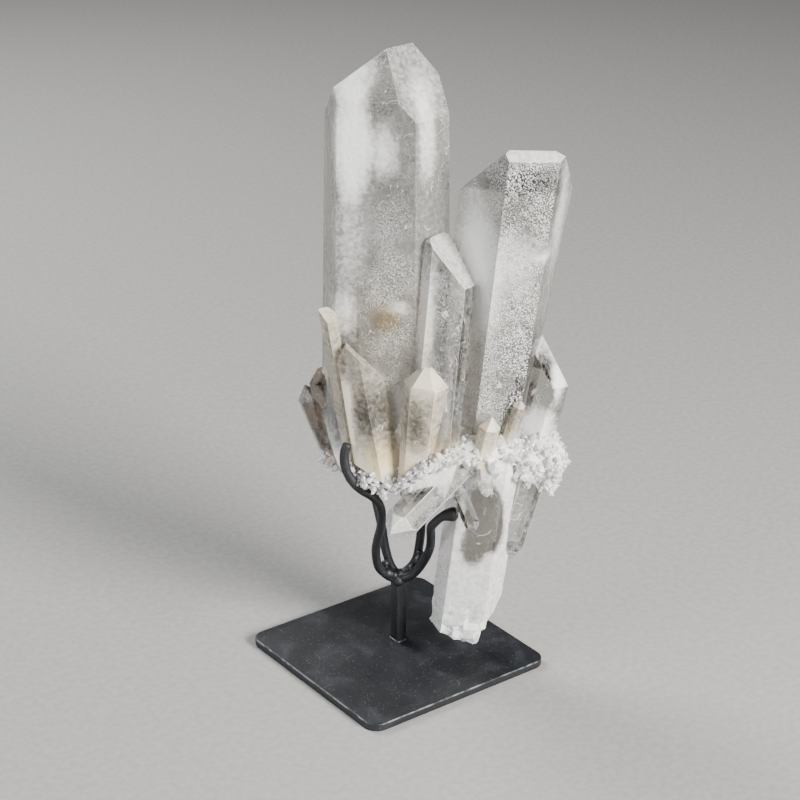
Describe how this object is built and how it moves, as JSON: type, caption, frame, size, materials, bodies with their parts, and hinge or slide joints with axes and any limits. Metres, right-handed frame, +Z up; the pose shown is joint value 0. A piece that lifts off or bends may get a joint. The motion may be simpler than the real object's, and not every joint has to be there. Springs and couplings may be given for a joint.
{
  "type": "quartz crystal cluster on display stand",
  "caption": "Clear to milky quartz cluster of long six-sided crystals, held upright by bent rods on a black steel post and square base plate.",
  "frame": {"origin": "centre of the base plate's underside", "axes": "+Z up; X and Y run along the plate's sides. The cluster's best side faces -Y turned 36.66 degrees towards -X, where the picture was taken from"},
  "size_m": [0.1069, 0.0947, 0.2568],
  "materials": {
    "black_paint": "satin",
    "quartz": "polished"
  },
  "bodies": {
    "root": {"base_plate": "black_paint", "post": "black_paint", "front_fork": "black_paint", "back_fork": "black_paint", "quartz_cluster": "quartz"}
  },
  "joints": []
}
